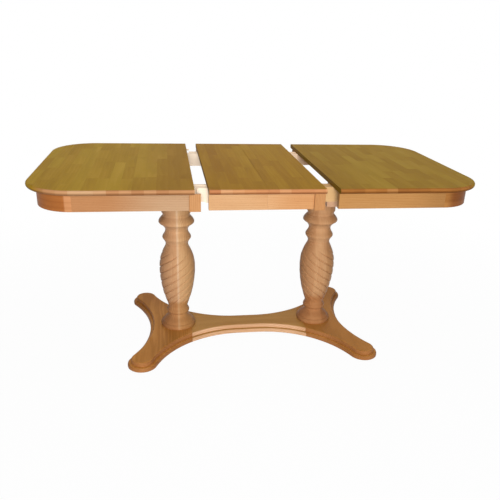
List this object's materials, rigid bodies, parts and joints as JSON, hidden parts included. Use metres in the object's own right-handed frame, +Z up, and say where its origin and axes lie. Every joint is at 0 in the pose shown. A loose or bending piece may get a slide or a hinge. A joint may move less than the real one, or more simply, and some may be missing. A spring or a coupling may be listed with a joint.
{
  "type": "extending dining table",
  "caption": "Oval-cornered wooden dining table on twin turned pedestals, with two sliding top halves, a folding centre leaf, aprons and a four-footed base.",
  "frame": {"origin": "on the floor, at the centre of the table's footprint", "axes": "+X along the table to its right end, +Y to its back, +Z up"},
  "size_m": [1.63, 0.836, 0.75],
  "materials": {
    "top_wood": "lacquered",
    "apron_wood": "satin lacquer",
    "slide_wood": "bare",
    "bearer_wood": "satin lacquer",
    "pedestal_wood": "satin lacquer",
    "base_wood": "satin lacquer",
    "dowel_wood": "bare",
    "zinc_steel": "zinc plated",
    "brass": "satin",
    "nylon": "moulded",
    "glide_plastic": "moulded"
  },
  "bodies": {
    "frame": {"left_foot_board": "base_wood", "right_foot_board": "base_wood", "stretcher_board": "base_wood", "base_joint_dowels": "dowel_wood", "floor_glides": "glide_plastic", "left_pedestal": "pedestal_wood", "right_pedestal": "pedestal_wood", "tie_rods": "zinc_steel", "tie_rod_nuts": "zinc_steel", "tie_rod_washers": "zinc_steel", "left_inner_bearer": "bearer_wood", "left_outer_bearer": "bearer_wood", "right_inner_bearer": "bearer_wood", "right_outer_bearer": "bearer_wood", "bearer_screws": "zinc_steel", "front_centre_rail": "slide_wood", "back_centre_rail": "slide_wood", "rail_screws": "zinc_steel", "gear_bridge": "bearer_wood", "bridge_screws": "zinc_steel", "pinion_axle": "zinc_steel", "axle_spacer": "zinc_steel", "axle_nut": "zinc_steel"},
    "left_top": {"left_panel": "top_wood", "left_front_apron": "apron_wood", "left_back_apron": "apron_wood", "left_end_apron": "apron_wood", "left_front_corner_apron": "apron_wood", "left_back_corner_apron": "apron_wood", "left_seam_braces": "bearer_wood", "left_front_slide_bar": "slide_wood", "left_back_slide_bar": "slide_wood", "left_rack": "nylon", "left_screws": "zinc_steel", "left_locating_dowels": "dowel_wood", "left_joint_block": "apron_wood"},
    "right_top": {"right_panel": "top_wood", "right_front_apron": "apron_wood", "right_back_apron": "apron_wood", "right_end_apron": "apron_wood", "right_front_corner_apron": "apron_wood", "right_back_corner_apron": "apron_wood", "right_seam_braces": "bearer_wood", "right_front_slide_bar": "slide_wood", "right_back_slide_bar": "slide_wood", "right_rack": "nylon", "right_screws": "zinc_steel"},
    "pinion": {"drive_pinion": "nylon"},
    "leaf_right": {"leaf_right_panel": "top_wood", "leaf_right_front_apron": "apron_wood", "leaf_right_back_apron": "apron_wood", "leaf_right_hinge_cups": "brass", "leaf_locating_dowels": "dowel_wood", "leaf_joint_blocks": "apron_wood"},
    "leaf_left": {"leaf_left_panel": "top_wood", "leaf_left_front_apron": "apron_wood", "leaf_left_back_apron": "apron_wood", "leaf_left_hinge_cups": "brass"}
  },
  "joints": [
    {"name": "left_slide", "type": "slide", "parent": "frame", "child": "left_top", "axis": [-1, 0, 0], "range_m": [-0.0475, 0.03]},
    {"name": "right_slide", "type": "slide", "parent": "frame", "child": "right_top", "axis": [1, 0, 0], "range_m": [-0.0475, 0.03]},
    {"name": "pinion_turn", "type": "hinge", "parent": "frame", "child": "pinion", "pos_m": [0, -0.214, 0.692], "axis": [0, 0, 1], "range_deg": [-93, 60]},
    {"name": "leaf_lift", "type": "slide", "parent": "frame", "child": "leaf_right", "axis": [0, 0, 1], "range_m": [0, 0.15]},
    {"name": "leaf_fold", "type": "hinge", "parent": "leaf_right", "child": "leaf_left", "pos_m": [0, 0, 0.7502], "axis": [0, 1, 0], "range_deg": [0, 179]}
  ],
  "couplings": [
    {"joint": "right_slide", "follows": "left_slide", "ratio": 1},
    {"joint": "pinion_turn", "follows": "left_slide", "rad_per_m": 33.333}
  ]
}
